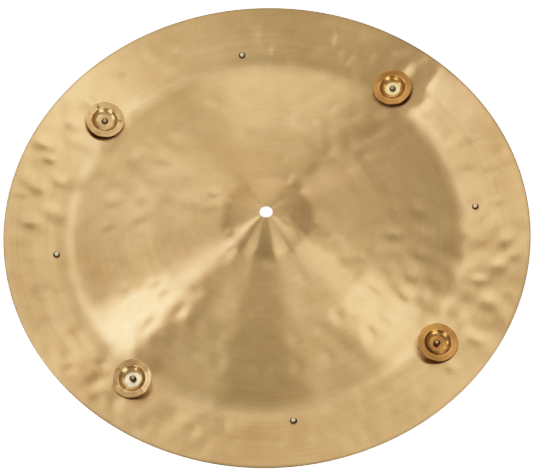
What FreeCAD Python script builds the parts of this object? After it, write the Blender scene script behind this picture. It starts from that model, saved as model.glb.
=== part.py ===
import FreeCAD, Part
import math
import os

import Sketcher

# A 20 inch Chinese cymbal with its bell up: one bronze plate with a domed bell, a bow that slopes
# down from it and a flange that turns up to the rim. Eight holes lie on one circle of the flange,
# each square to the metal there. Four of them hold a loose split rivet. The four between them hold a
# small jingle, dome down, under the head of a rivet of the same kind. A jingle rocks on its cup and
# pushes its rivet up. Jingles 1 and 2 lie flat on the plate; 3 and 4 lie tipped outward on their rims.
# +Z is the cymbal's axis. The origin is on the axis of the centre hole, level with the underside of
# the bell at the hole, where a stand holds the cymbal.

DIMENSIONS = [
    # the plate
    ("rim_radius", 254.0),
    ("hole_radius", 6.0),
    ("bell_thickness", 1.2),
    ("valley_thickness", 0.95),
    ("rim_thickness", 0.8),
    ("rim_rounding", 0.3),
    ("bell_radius", 48.5),
    ("crown_bend", 75.0),
    ("foot_bend", 20.0),
    ("bow_bend", 960.0),
    ("valley_radius", 191.0),
    ("valley_bend", 45.0),
    ("valley_drop", 38.8),
    ("flange_slope", 10.4),
    # the stations, where the rivets and jingles sit
    ("station_count", 8),
    ("station_radius", 204.0),
    ("station_hole_radius", 1.7),
    ("station_cut_depth", 8.0),
    # the split rivets
    ("shank_radius", 1.5),
    ("head_radius", 3.3),
    ("head_height", 2.4),
    ("head_edge", 0.35),
    ("seat_gap", 0.05),
    ("grip_length", 6.3),
    ("leg_length", 3.4),
    ("leg_spread", 2.0),
    ("leg_wall", 0.7),
    ("split_width", 0.9),
    ("split_start", 1.0),
    ("bore_start", 2.0),
    # the jingles
    ("jingle_radius", 19.0),
    ("jingle_thickness", 0.6),
    ("jingle_hole_radius", 1.95),
    ("jingle_gap", 0.15),
    ("cup_floor_radius", 6.6),
    ("cup_bend", 6.3),
    ("cup_lip_bend", 1.5),
    ("cup_depth", 4.3),
    ("jingle_flange_slope", 3.0),
    # how a jingle rocks outward from flat, and how far its rivet rises with it
    ("rock_angle", 20.0),
    ("rock_pivot_radius", 7.57),
    ("rock_pivot_height", 1.48),
    ("rock_lift", 4.1),
]

# Slopes, in degrees, from which the sketch solver starts. It moves them to the slopes that the
# dimensions above ask for.
FLANK_SLOPE_START = -32.0
BOW_TOP_SLOPE_START = -6.0
BOW_FOOT_SLOPE_START = -14.0
CUP_WALL_SLOPE_START = 60.0

FLANGE_SLOPE = "(Sheet.flange_slope * 1deg)"
VALLEY_CENTRE_HEIGHT = "Sheet.bell_thickness - Sheet.valley_drop + Sheet.valley_bend"
STATION_HEIGHT = (
    f"{VALLEY_CENTRE_HEIGHT} - Sheet.valley_bend / cos{FLANGE_SLOPE}"
    f" + (Sheet.station_radius - Sheet.valley_radius) * tan{FLANGE_SLOPE}"
)

doc = FreeCAD.newDocument("china_cymbal")
sheet = doc.addObject("Spreadsheet::Sheet", "Sheet")
for row, (alias, size) in enumerate(DIMENSIONS, start=1):
    sheet.set(f"A{row}", alias)
    sheet.set(f"B{row}", str(size))
    sheet.setAlias(f"B{row}", alias)
doc.recompute()


# ---- helpers -------------------------------------------------------------------------------------

def value(expression):
    """What a sheet expression comes to, in millimetres or degrees."""
    found = sheet.evalExpression(str(expression))
    return float(getattr(found, "Value", found))


def origin_feature(body, role):
    """The body's own origin plane or axis with that role."""
    return next(f for f in body.Origin.OriginFeatures if f.Role == role)


def new_body(label):
    body = doc.addObject("PartDesign::Body", label)
    body.Label = label
    return body


def new_sketch(body, name, plane):
    sketch = body.newObject("Sketcher::SketchObject", name)
    sketch.AttachmentSupport = (origin_feature(body, plane), "")
    sketch.MapMode = "FlatFace"
    return sketch


def revolve(body, name, sketch):
    """Turns the section round its own vertical axis, which is the body's Z."""
    turned = body.newObject("PartDesign::Revolution", name)
    turned.Profile = sketch
    turned.ReferenceAxis = (sketch, ["V_Axis"])
    turned.Angle = 360
    doc.recompute()
    return turned


def pocket(body, name, sketch, depth, before, side_type="One side"):
    """Cuts the sketch's outline out of the body, to the depth that the expression gives."""
    cut = body.newObject("PartDesign::Pocket", name)
    cut.Profile = sketch
    cut.SideType = side_type
    cut.setExpression("Length", depth)
    doc.recompute()
    check_cut(before, cut)
    return cut


def check_cut(before, after):
    """Stops the build when a feature that should remove material removed none."""
    if after.Shape.Volume > before.Shape.Volume - 1.0e-3:
        raise RuntimeError(f"{after.Name} cut nothing from {before.Name}")


def drive(sketch, name, kind, refs, expression):
    """Adds a named dimension to the sketch and binds it to the sheet."""
    start = value(expression)
    if kind == "Angle":
        start = math.radians(start)
    index = sketch.addConstraint(Sketcher.Constraint(kind, *refs, start))
    sketch.renameConstraint(index, name)
    sketch.setExpression(f"Constraints.{name}", expression)


def drive_from_origin(sketch, name, kind, curve, end, expression):
    """The signed distance of a curve's end, 1, 2 or 3 for its centre, from the sketch's origin."""
    drive(sketch, name, kind, (-1, 1, curve, end), expression)


def constrain(sketch, kind, *refs):
    sketch.addConstraint(Sketcher.Constraint(kind, *refs))


def add_line(sketch, x1, z1, x2, z2):
    return sketch.addGeometry(Part.LineSegment(FreeCAD.Vector(x1, z1, 0), FreeCAD.Vector(x2, z2, 0)))


def add_circle_arc(sketch, x, z, bend, first, last):
    """An arc about (x, z) between two angles in radians, anticlockwise."""
    circle = Part.Circle(FreeCAD.Vector(x, z, 0), FreeCAD.Vector(0, 0, 1), bend)
    return sketch.addGeometry(Part.ArcOfCircle(circle, first, last))


def add_bend(sketch, x, z, bend, slope_in, slope_out):
    """An arc from (x, z) outward, along which the slope turns from slope_in to slope_out, in degrees.
    Its inner end is end 1 where the slope grows and end 2 where it falls. Returns the arc and the
    place of its outer end."""
    first, last = math.radians(slope_in), math.radians(slope_out)
    side = 1 if last > first else -1
    centre_x = x - side * bend * math.sin(first)
    centre_z = z + side * bend * math.cos(first)
    quarter = side * math.pi / 2
    low, high = sorted((first - quarter, last - quarter))
    arc = add_circle_arc(sketch, centre_x, centre_z, bend, low, high)
    return arc, centre_x + side * bend * math.sin(last), centre_z - side * bend * math.cos(last)


# ---- the plate -----------------------------------------------------------------------------------

def plate_surface(sketch, side, hole_height, thicker):
    """One surface of the plate, from the centre hole to the rim: crown, foot, bow and valley arcs and
    the straight flange, each smooth with the next. thicker is what the arcs that curve up gain and
    the arcs that curve down lose, as (bell, valley) expressions. Returns the crown and the flange."""
    bell, valley = thicker
    crown_bend = f"Sheet.crown_bend - {bell}"
    foot_bend = f"Sheet.foot_bend + {bell}"
    bow_bend = f"Sheet.bow_bend - {bell}"
    valley_bend = f"Sheet.valley_bend + {valley}"
    flange_slope, rim = value("Sheet.flange_slope"), value("Sheet.rim_radius")

    x, z = value("Sheet.hole_radius"), value(hole_height)
    hole_slope = -math.degrees(math.asin(x / value(crown_bend)))
    crown, x, z = add_bend(sketch, x, z, value(crown_bend), hole_slope, FLANK_SLOPE_START)
    foot, x, z = add_bend(sketch, x, z, value(foot_bend), FLANK_SLOPE_START, BOW_TOP_SLOPE_START)
    bow, x, z = add_bend(sketch, x, z, value(bow_bend), BOW_TOP_SLOPE_START, BOW_FOOT_SLOPE_START)
    dip, x, z = add_bend(sketch, x, z, value(valley_bend), BOW_FOOT_SLOPE_START, flange_slope)
    flange = add_line(sketch, x, z, rim, z + (rim - x) * math.tan(math.radians(flange_slope)))

    constrain(sketch, "Tangent", crown, 1, foot, 1)
    constrain(sketch, "Tangent", foot, 2, bow, 2)
    constrain(sketch, "Tangent", bow, 1, dip, 1)
    constrain(sketch, "Tangent", dip, 2, flange, 1)
    constrain(sketch, "PointOnObject", crown, 3, -2)
    drive(sketch, f"{side}_crown_bend", "Radius", (crown,), crown_bend)
    drive(sketch, f"{side}_foot_bend", "Radius", (foot,), foot_bend)
    drive(sketch, f"{side}_bow_bend", "Radius", (bow,), bow_bend)
    drive(sketch, f"{side}_valley_bend", "Radius", (dip,), valley_bend)
    drive_from_origin(sketch, f"{side}_hole_radius", "DistanceX", crown, 2, "Sheet.hole_radius")
    drive_from_origin(sketch, f"{side}_hole_height", "DistanceY", crown, 2, hole_height)
    drive_from_origin(sketch, f"{side}_bell_radius", "DistanceX", foot, 2, "Sheet.bell_radius")
    drive_from_origin(sketch, f"{side}_valley_radius", "DistanceX", dip, 3, "Sheet.valley_radius")
    drive_from_origin(sketch, f"{side}_valley_height", "DistanceY", dip, 3, VALLEY_CENTRE_HEIGHT)
    drive_from_origin(sketch, f"{side}_rim_radius", "DistanceX", flange, 2, "Sheet.rim_radius")
    return crown, flange


def make_cymbal():
    body = new_body("cymbal")
    section = new_sketch(body, "cymbal_section", "XZ_Plane")
    top_crown, top_flange = plate_surface(section, "top", "Sheet.bell_thickness", ("0", "0"))
    under_crown, under_flange = plate_surface(
        section, "under", "0", ("Sheet.bell_thickness", "Sheet.valley_thickness")
    )
    drive(section, "flange_slope", "Angle", (top_flange,), "Sheet.flange_slope * 1deg")
    hole_wall = join(section, (under_crown, 2), (top_crown, 2))
    rim_wall = join(section, (under_flange, 2), (top_flange, 2))
    drive(section, "rim_thickness", "DistanceY", (rim_wall, 1, rim_wall, 2), "Sheet.rim_thickness")
    plate = revolve(body, "cymbal_plate", section)
    if abs(section.Geometry[hole_wall].length() - value("Sheet.bell_thickness")) > 1.0e-6:
        raise RuntimeError("the centre hole's wall isn't the bell's thickness")

    rounding = body.newObject("PartDesign::Fillet", "rim_rounding")
    rounding.Base = (plate, circular_edges(plate.Shape, value("Sheet.rim_radius")))
    rounding.setExpression("Radius", "Sheet.rim_rounding")
    doc.recompute()
    check_cut(plate, rounding)

    # The outline of the first station's hole lies on the flange and is square to it.
    outline = new_sketch(body, "station_hole", "XY_Plane")
    circle = outline.addGeometry(
        Part.Circle(FreeCAD.Vector(0, 0, 0), FreeCAD.Vector(0, 0, 1), value("Sheet.station_hole_radius"))
    )
    constrain(outline, "Coincident", circle, 3, -1, 1)
    drive(outline, "hole_radius", "Radius", (circle,), "Sheet.station_hole_radius")
    outline.AttachmentOffset = FreeCAD.Placement(FreeCAD.Vector(0, 0, 0), flange_lean())
    outline.setExpression("AttachmentOffset.Rotation.Angle", "Sheet.flange_slope * 1deg")
    outline.setExpression("AttachmentOffset.Base.x", "Sheet.station_radius")
    outline.setExpression("AttachmentOffset.Base.z", STATION_HEIGHT)
    hole = pocket(body, "station_hole_cut", outline, "Sheet.station_cut_depth", rounding, "Symmetric")

    holes = body.newObject("PartDesign::PolarPattern", "station_holes")
    holes.Originals = [hole]
    holes.Axis = (origin_feature(body, "Z_Axis"), [""])
    holes.Angle = 360
    holes.setExpression("Occurrences", "Sheet.station_count")
    body.Tip = holes
    doc.recompute()
    check_cut(hole, holes)
    return body


def join(sketch, low_end, high_end):
    """A straight wall between the ends of two curves, each given as (curve, end)."""
    low, high = sketch.getPoint(*low_end), sketch.getPoint(*high_end)
    wall = add_line(sketch, low.x, low.y, high.x, high.y)
    constrain(sketch, "Coincident", wall, 1, *low_end)
    constrain(sketch, "Coincident", wall, 2, *high_end)
    return wall


def circular_edges(shape, radius):
    """The names of the shape's edges that are circles of that radius."""
    return [
        f"Edge{number}" for number, edge in enumerate(shape.Edges, start=1)
        if isinstance(edge.Curve, Part.Circle) and abs(edge.Curve.Radius - radius) < 0.01
    ]


# ---- the stations --------------------------------------------------------------------------------

def flange_lean():
    """Turns +Z from the cymbal's axis to square with the flange, on the +X side."""
    return FreeCAD.Rotation(FreeCAD.Vector(0, -1, 0), value("Sheet.flange_slope"))


def station_placement(number, twist=0.0):
    """The middle of a station's hole in the plate's upper surface, with +Z square to the flange.
    Station 0 is on +X, and twist turns the piece about its own axis, in degrees."""
    axis = FreeCAD.Vector(0, 0, 1)
    around = FreeCAD.Rotation(axis, 360.0 * number / value("Sheet.station_count"))
    place = FreeCAD.Vector(value("Sheet.station_radius"), 0, value(STATION_HEIGHT))
    turn = around.multiply(flange_lean()).multiply(FreeCAD.Rotation(axis, twist))
    return FreeCAD.Placement(around.multVec(place), turn)


# ---- the split rivets ----------------------------------------------------------------------------

def make_split_rivet(label, seat, placement):
    """A domed head on a shank whose lower end is bored and split into two legs, spread apart so that
    the rivet stays in its hole and still rides up and down. seat is the height of the head's
    underside over the plate, as an expression."""
    body = new_body(label)
    section = rivet_section(body, f"{label}_section", seat)
    turned = revolve(body, f"{label}_turned", section)

    depth = "Sheet.grip_length + Sheet.leg_length"
    half_split = "Sheet.split_width / 2"
    reach = "2 * (Sheet.shank_radius + Sheet.leg_spread)"
    split_outline = new_sketch(body, f"{label}_split_outline", "XY_Plane")
    add_rectangle(split_outline, "slot", f"-({half_split})", half_split, f"-({reach})", reach)
    split_outline.setExpression("AttachmentOffset.Base.z", f"{seat} - Sheet.split_start")
    split = pocket(body, f"{label}_split", split_outline, depth, turned)

    # The skirt that the section gives is trimmed to two legs as wide as the shank.
    trim_outline = new_sketch(body, f"{label}_trim_outline", "XY_Plane")
    add_rectangle(trim_outline, "near", f"-({reach})", reach, "Sheet.shank_radius", reach)
    add_rectangle(trim_outline, "far", f"-({reach})", reach, f"-({reach})", "-Sheet.shank_radius")
    trim_outline.setExpression("AttachmentOffset.Base.z", f"{seat} - Sheet.grip_length")
    body.Tip = pocket(body, f"{label}_trim", trim_outline, depth, split)
    body.Placement = placement
    return body


def rivet_section(body, name, seat):
    """The rivet's section on one side of its axis: head, shank, spread skirt and bore."""
    sketch = new_sketch(body, name, "XZ_Plane")
    seat_z, head, shank = value(seat), value("Sheet.head_radius"), value("Sheet.shank_radius")
    bore, foot = shank - value("Sheet.leg_wall"), shank + value("Sheet.leg_spread")
    grip_z = seat_z - value("Sheet.grip_length")
    foot_z, bore_z = grip_z - value("Sheet.leg_length"), seat_z - value("Sheet.bore_start")
    edge_z, top_z = seat_z + value("Sheet.head_edge"), seat_z + value("Sheet.head_height")
    corners = [
        (head, edge_z), (head, seat_z), (shank, seat_z), (shank, grip_z), (foot, foot_z),
        (foot - value("Sheet.leg_wall"), foot_z), (bore, grip_z), (bore, bore_z), (0, bore_z), (0, top_z),
    ]
    walls = [add_line(sketch, *a, *b) for a, b in zip(corners, corners[1:])]
    for first, second in zip(walls, walls[1:]):
        constrain(sketch, "Coincident", first, 2, second, 1)
    head_side, seat_face, shank_side, skirt_side, foot_face, skirt_bore, bore_side, bore_end, axis = walls
    rise = top_z - edge_z
    bend = (head ** 2 + rise ** 2) / (2 * rise)
    dome = add_circle_arc(sketch, 0, top_z - bend, bend, math.asin(1 - rise / bend), math.pi / 2)

    constrain(sketch, "Coincident", axis, 2, dome, 2)
    constrain(sketch, "Coincident", dome, 1, head_side, 1)
    constrain(sketch, "PointOnObject", dome, 3, -2)
    constrain(sketch, "PointOnObject", axis, 1, -2)
    constrain(sketch, "Parallel", skirt_side, skirt_bore)
    for upright in (head_side, shank_side, bore_side, axis):
        constrain(sketch, "Vertical", upright)
    for level in (seat_face, foot_face, bore_end):
        constrain(sketch, "Horizontal", level)
    drive_from_origin(sketch, "head_radius", "DistanceX", head_side, 1, "Sheet.head_radius")
    drive_from_origin(sketch, "shank_radius", "DistanceX", shank_side, 1, "Sheet.shank_radius")
    drive_from_origin(sketch, "bore_radius", "DistanceX", bore_side, 2, "Sheet.shank_radius - Sheet.leg_wall")
    drive_from_origin(sketch, "seat", "DistanceY", seat_face, 1, seat)
    drive(sketch, "leg_spread", "DistanceX", (skirt_side, 1, skirt_side, 2), "Sheet.leg_spread")
    drive(sketch, "leg_wall", "DistanceX", (foot_face, 2, foot_face, 1), "Sheet.leg_wall")
    drive(sketch, "head_edge", "DistanceY", (head_side, 2, head_side, 1), "Sheet.head_edge")
    drive(sketch, "head_height", "DistanceY", (seat_face, 1, dome, 2), "Sheet.head_height")
    drive(sketch, "grip_length", "DistanceY", (shank_side, 2, shank_side, 1), "Sheet.grip_length")
    drive(sketch, "leg_length", "DistanceY", (skirt_side, 2, skirt_side, 1), "Sheet.leg_length")
    drive(sketch, "bore_start", "DistanceY", (bore_end, 1, seat_face, 1), "Sheet.bore_start")
    return sketch


def add_rectangle(sketch, name, left, right, near, far):
    """A rectangle with its sides parallel to the sketch's axes, each side where its expression says."""
    corners = [
        (value(left), value(near)), (value(right), value(near)),
        (value(right), value(far)), (value(left), value(far)),
    ]
    sides = [add_line(sketch, *a, *b) for a, b in zip(corners, corners[1:] + corners[:1])]
    for first, second in zip(sides, sides[1:] + sides[:1]):
        constrain(sketch, "Coincident", first, 2, second, 1)
    for side, kind in zip(sides, ("Horizontal", "Vertical", "Horizontal", "Vertical")):
        constrain(sketch, kind, side)
    near_side, _, far_side, _ = sides
    drive_from_origin(sketch, f"{name}_left", "DistanceX", near_side, 1, left)
    drive_from_origin(sketch, f"{name}_right", "DistanceX", near_side, 2, right)
    drive_from_origin(sketch, f"{name}_near", "DistanceY", near_side, 1, near)
    drive_from_origin(sketch, f"{name}_far", "DistanceY", far_side, 1, far)


# ---- the jingles ---------------------------------------------------------------------------------

def jingle_surface(sketch, side, height, cup_bend, lip_bend):
    """One surface of the jingle, from its hole out: the cup's floor and wall, its lip and the flange,
    each smooth with the next. height is the floor's. Returns the floor and the flange."""
    x, z = value("Sheet.cup_floor_radius"), value(height)
    rim, slope = value("Sheet.jingle_radius"), value("Sheet.jingle_flange_slope")
    floor = add_line(sketch, value("Sheet.jingle_hole_radius"), z, x, z)
    wall, x, z = add_bend(sketch, x, z, value(cup_bend), 0.0, CUP_WALL_SLOPE_START)
    lip, x, z = add_bend(sketch, x, z, value(lip_bend), CUP_WALL_SLOPE_START, slope)
    flange = add_line(sketch, x, z, rim, z + (rim - x) * math.tan(math.radians(slope)))

    constrain(sketch, "Tangent", floor, 2, wall, 1)
    constrain(sketch, "Tangent", wall, 2, lip, 2)
    constrain(sketch, "Tangent", lip, 1, flange, 1)
    constrain(sketch, "Horizontal", floor)
    drive(sketch, f"{side}_cup_bend", "Radius", (wall,), cup_bend)
    drive(sketch, f"{side}_lip_bend", "Radius", (lip,), lip_bend)
    drive(sketch, f"{side}_flange_slope", "Angle", (flange,), "Sheet.jingle_flange_slope * 1deg")
    drive_from_origin(sketch, f"{side}_hole_radius", "DistanceX", floor, 1, "Sheet.jingle_hole_radius")
    drive_from_origin(sketch, f"{side}_floor_radius", "DistanceX", floor, 2, "Sheet.cup_floor_radius")
    drive_from_origin(sketch, f"{side}_radius", "DistanceX", flange, 2, "Sheet.jingle_radius")
    drive_from_origin(sketch, f"{side}_height", "DistanceY", floor, 1, height)
    drive_from_origin(sketch, f"{side}_rim_height", "DistanceY", flange, 2, f"{height} + Sheet.cup_depth")
    return floor, flange


def make_jingle(label, placement):
    """A thin disc pressed into a deep cup. The cup's floor rests on the plate and holds the flange
    clear of it."""
    body = new_body(label)
    section = new_sketch(body, f"{label}_section", "XZ_Plane")
    under_floor, under_flange = jingle_surface(
        section, "under", "Sheet.jingle_gap",
        "Sheet.cup_bend + Sheet.jingle_thickness", "Sheet.cup_lip_bend - Sheet.jingle_thickness",
    )
    top_floor, top_flange = jingle_surface(
        section, "top", "Sheet.jingle_gap + Sheet.jingle_thickness",
        "Sheet.cup_bend", "Sheet.cup_lip_bend",
    )
    join(section, (under_floor, 1), (top_floor, 1))
    join(section, (under_flange, 2), (top_flange, 2))
    body.Tip = revolve(body, f"{label}_pressed", section)
    body.Placement = placement
    return body


# ---- the assembly --------------------------------------------------------------------------------

def rocked_outward():
    """From a jingle lying flat on its station to the same jingle tipped outward onto its rim."""
    pivot = FreeCAD.Vector(value("Sheet.rock_pivot_radius"), 0, value("Sheet.rock_pivot_height"))
    tip = FreeCAD.Rotation(FreeCAD.Vector(0, 1, 0), value("Sheet.rock_angle"))
    return FreeCAD.Placement(FreeCAD.Vector(0, 0, 0), tip, pivot)


def raised():
    """The rise of a rivet whose jingle is tipped."""
    return FreeCAD.Placement(FreeCAD.Vector(0, 0, value("Sheet.rock_lift")), FreeCAD.Rotation())


# Each rivet's legs point their own way, this much further round than the last one's.
RIVET_TWIST = 52.0
TIPPED_JINGLES = (3, 4)
ON_PLATE = "Sheet.seat_gap"
IN_CUP = "Sheet.jingle_gap + Sheet.jingle_thickness + Sheet.seat_gap"

bodies = [make_cymbal()]
for number in range(1, int(value("Sheet.station_count")) // 2 + 1):
    even, odd = 2 * number - 2, 2 * number - 1
    sizzle_at = station_placement(even, RIVET_TWIST * even)
    jingle_at, held_at = station_placement(odd), station_placement(odd, RIVET_TWIST * odd)
    if number in TIPPED_JINGLES:
        jingle_at = jingle_at.multiply(rocked_outward())
        held_at = held_at.multiply(raised())
    bodies.append(make_split_rivet(f"sizzle_rivet_{number}", ON_PLATE, sizzle_at))
    bodies.append(make_jingle(f"jingle_{number}", jingle_at))
    bodies.append(make_split_rivet(f"jingle_rivet_{number}", IN_CUP, held_at))
doc.recompute()

for item in doc.Objects:
    if {"Invalid", "Error"} & set(item.State):
        raise RuntimeError(f"{item.Name} failed: {item.State}")
    if item.TypeId == "Sketcher::SketchObject" and not item.FullyConstrained:
        raise RuntimeError(f"{item.Name} isn't fully constrained")
for body in bodies:
    if body.Shape.isNull() or not body.Shape.isValid() or len(body.Shape.Solids) != 1:
        raise RuntimeError(f"{body.Label} is not one valid solid")

os.makedirs("parts", exist_ok=True)
for body in bodies:
    body.Shape.exportStep(f"parts/{body.Label}.step")
    print(f"{body.Label}: {body.Shape.Volume / 1000:.3f} cm3")
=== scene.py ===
import math
import random

import bmesh
import bpy
import numpy as np
from mathutils import Matrix, Vector


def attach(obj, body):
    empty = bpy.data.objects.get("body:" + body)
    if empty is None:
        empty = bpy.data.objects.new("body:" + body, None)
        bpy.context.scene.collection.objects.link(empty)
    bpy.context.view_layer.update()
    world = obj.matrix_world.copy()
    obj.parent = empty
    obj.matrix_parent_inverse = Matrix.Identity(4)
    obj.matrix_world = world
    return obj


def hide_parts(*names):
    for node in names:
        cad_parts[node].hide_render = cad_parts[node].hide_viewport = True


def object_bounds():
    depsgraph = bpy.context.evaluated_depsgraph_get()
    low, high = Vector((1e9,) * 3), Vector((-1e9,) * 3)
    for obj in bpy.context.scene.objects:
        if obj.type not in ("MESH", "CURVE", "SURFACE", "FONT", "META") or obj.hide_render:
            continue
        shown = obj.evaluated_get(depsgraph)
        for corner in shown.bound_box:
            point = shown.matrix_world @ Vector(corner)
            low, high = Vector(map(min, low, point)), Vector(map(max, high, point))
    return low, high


# A 20 inch Chinese cymbal, bell up: a hammered and lathed bronze plate with four loose split rivets
# and four small jingles on its turned-up flange. The pieces' shapes are in millimetres, with radii
# from the axis of the piece that is being drawn. Finished meshes, materials, camera and lights are in
# metres. Angles are in degrees.

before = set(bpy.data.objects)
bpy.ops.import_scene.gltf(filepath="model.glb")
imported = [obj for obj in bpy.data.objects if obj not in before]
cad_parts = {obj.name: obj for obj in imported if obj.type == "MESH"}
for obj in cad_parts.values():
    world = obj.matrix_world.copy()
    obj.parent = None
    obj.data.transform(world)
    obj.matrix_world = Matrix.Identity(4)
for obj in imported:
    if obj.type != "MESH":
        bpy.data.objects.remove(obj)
cad_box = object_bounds()

MM = 0.001

# the plate
RIM_RADIUS = 254.0
RIM_ROUNDING = 0.3
HOLE_RADIUS = 6.0
BELL_THICKNESS = 1.2
FLANGE_SLOPE = 10.4
# The plate's two surfaces, from the hole outward: the slope at the hole, and then the arcs of crown,
# foot, bow and valley. An arc is its bend's radius and the slope that it ends at.
TOP_FIRST_SLOPE = -4.589
TOP_BENDS = [(75.0, -32.180), (20.0, -6.014), (960.0, -13.997), (45.0, FLANGE_SLOPE)]
UNDER_FIRST_SLOPE = -4.663
UNDER_BENDS = [(73.8, -32.239), (21.2, -5.897), (958.8, -13.879), (45.95, FLANGE_SLOPE)]
# the stations, where the rivets go through the flange
STATION_COUNT = 8
STATION_RADIUS = 204.0
STATION_HEIGHT = -35.966
STATION_HOLE_RADIUS = 1.7
# the rivets: a domed head with an upright edge, and a shank that is bored from below
HEAD_RADIUS = 3.3
HEAD_HEIGHT = 2.4
HEAD_EDGE = 0.35
HEAD_EDGE_BREAK = 0.02
CHAMFER = 0.12
SHANK_RADIUS = 1.5
GRIP_LENGTH = 6.3
# the rivets' two legs, which start to flare a little above the grip's end
FLARE_RUN = 0.9
FLARE_CURVE = 1.5
LEG_LENGTH = 3.4
LEG_SPREAD = 2.0
LEG_WALL = 0.7
LEG_THINNING = 0.1
SPLIT_WIDTH = 0.9
SPLIT_TOP = -1.0
LEG_SIDE_GAP = 0.004
LEG_SIDE_TOP = -GRIP_LENGTH + 2.0
# how far each rivet is turned from the one before it
RIVET_TWIST = 52.0
# the jingles
JINGLE_RADIUS = 19.0
JINGLE_THICKNESS = 0.6
JINGLE_EDGE = 0.2
JINGLE_HOLE_RADIUS = 1.95
JINGLE_GAP = 0.15
CUP_FLOOR_RADIUS = 6.6
CUP_BEND = 6.3
CUP_LIP_BEND = 1.5
CUP_WALL_SLOPE = 61.38
JINGLE_FLANGE_SLOPE = 3.0
# how two of the jingles lie: rocked outward about the edge of the cup, with the rivet lifted
TIPPED_JINGLES = (3, 4)
ROCK_ANGLE = 20.0
ROCK_PIVOT = Vector((7.57, 0.0, 1.48))
ROCK_LIFT = 4.1
SEAT_GAP = 0.05


# ---- outlines and meshes -------------------------------------------------------------------------

SHEET_SHARP_ANGLE = 50.0
RIVET_SHARP_ANGLE = 40.0
CUTTER_MARGIN = 1.0


class Outline:
    """A section drawn from a point as straight lines and arcs, each smooth with the last. Its points
    are (radius, height) pairs, about a step apart."""

    def __init__(self, radius, height, slope=0.0):
        self.points = [(radius, height)]
        self.slope = slope

    def bend(self, bend_radius, slope, step):
        """An arc that turns to the given slope, the short way."""
        x, z = self.points[-1]
        first, last = math.radians(self.slope), math.radians(slope)
        side = 1 if last > first else -1
        centre_x = x - side * bend_radius * math.sin(first)
        centre_z = z + side * bend_radius * math.cos(first)
        count = max(2, math.ceil(bend_radius * abs(last - first) / step))
        for turn in np.linspace(first, last, count + 1)[1:]:
            self.points.append((
                centre_x + side * bend_radius * math.sin(turn),
                centre_z - side * bend_radius * math.cos(turn),
            ))
        self.slope = slope
        return self

    def straight(self, radius, step):
        """A line at the present slope, as far as the given radius."""
        x, z = self.points[-1]
        count = max(1, math.ceil(abs(radius - x) / step))
        rise = math.tan(math.radians(self.slope))
        for place in np.linspace(x, radius, count + 1)[1:]:
            self.points.append((place, z + (place - x) * rise))
        return self


def ring_points(radius, height, count, shape=None):
    """A ring of points about Z. shape moves them up or down, as a function of x and y."""
    turn = np.arange(count) * (2 * math.pi / count)
    x, y = radius * np.cos(turn), radius * np.sin(turn)
    z = np.full(count, float(height))
    if shape is not None:
        z += shape(x, y)
    return np.stack([x, y, z], axis=1)


def turned_mesh(name, rings, closed):
    """A mesh through rings of points in turn. Next to each other, rings have the same number of
    points or one has twice as many, or one of them is a single point on the axis. Followed outward
    on the upper side and inward on the lower, the faces look out of the solid."""
    starts = np.cumsum([0] + [len(ring) for ring in rings])
    points = np.concatenate(rings) * MM
    pairs = [(k, k + 1) for k in range(len(rings) - 1)] + ([(len(rings) - 1, 0)] if closed else [])
    faces = []
    for a, b in pairs:
        first, second = int(starts[a]), int(starts[b])
        m, n = len(rings[a]), len(rings[b])
        if m == 1:
            faces += [(first, second + i, second + (i + 1) % n) for i in range(n)]
        elif n == 1:
            faces += [(first + i, second, first + (i + 1) % m) for i in range(m)]
        elif m == n:
            faces += [
                (first + i, second + i, second + (i + 1) % n, first + (i + 1) % m) for i in range(m)
            ]
        elif n == 2 * m:
            faces += [
                (first + i, second + 2 * i, second + 2 * i + 1, second + (2 * i + 2) % n,
                 first + (i + 1) % m) for i in range(m)
            ]
        else:
            faces += [
                (first + 2 * i, second + i, second + (i + 1) % n, first + (2 * i + 2) % m,
                 first + 2 * i + 1) for i in range(n)
            ]
    mesh = bpy.data.meshes.new(name)
    mesh.from_pydata([tuple(p) for p in points.tolist()], [], faces)
    mesh.validate()
    return mesh


def new_object(name, mesh, matrix=None):
    piece = bpy.data.objects.new(name, mesh)
    bpy.context.scene.collection.objects.link(piece)
    if matrix is not None:
        piece.matrix_world = matrix
    return piece


def solid_object(name, shape):
    """An object from a bmesh, which is freed."""
    mesh = bpy.data.meshes.new(name)
    shape.to_mesh(mesh)
    shape.free()
    return new_object(name, mesh)


def smooth(mesh, sharp_angle):
    """Smooth shading, with edges sharper than the angle kept crisp."""
    mesh.shade_smooth()
    mesh.set_sharp_from_angle(angle=math.radians(sharp_angle))


def cut_away(piece, cutter):
    """Takes the cutter's solids out of the piece and deletes the cutter."""
    cut = piece.modifiers.new("cut", "BOOLEAN")
    cut.operation = "DIFFERENCE"
    cut.solver = "EXACT"
    cut.object = cutter
    cutter_mesh = cutter.data
    bpy.context.view_layer.update()
    evaluated = piece.evaluated_get(bpy.context.evaluated_depsgraph_get())
    result = bpy.data.meshes.new_from_object(evaluated)
    result.name = piece.data.name + "_cut"
    piece.modifiers.clear()
    whole = piece.data
    piece.data = result
    bpy.data.meshes.remove(whole)
    bpy.data.objects.remove(cutter)
    bpy.data.meshes.remove(cutter_mesh)


def note_depth(mesh, name, depth):
    """Writes a depth on each point, from 0 to 1, for the metal's colour. depth is a function of x
    and y."""
    places = np.empty(3 * len(mesh.vertices))
    mesh.vertices.foreach_get("co", places)
    x, y, _ = places.reshape(-1, 3).T / MM
    noted = mesh.attributes.new(name, "FLOAT", "POINT")
    noted.data.foreach_set("value", np.clip(depth(x, y), 0.0, 1.0))


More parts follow.
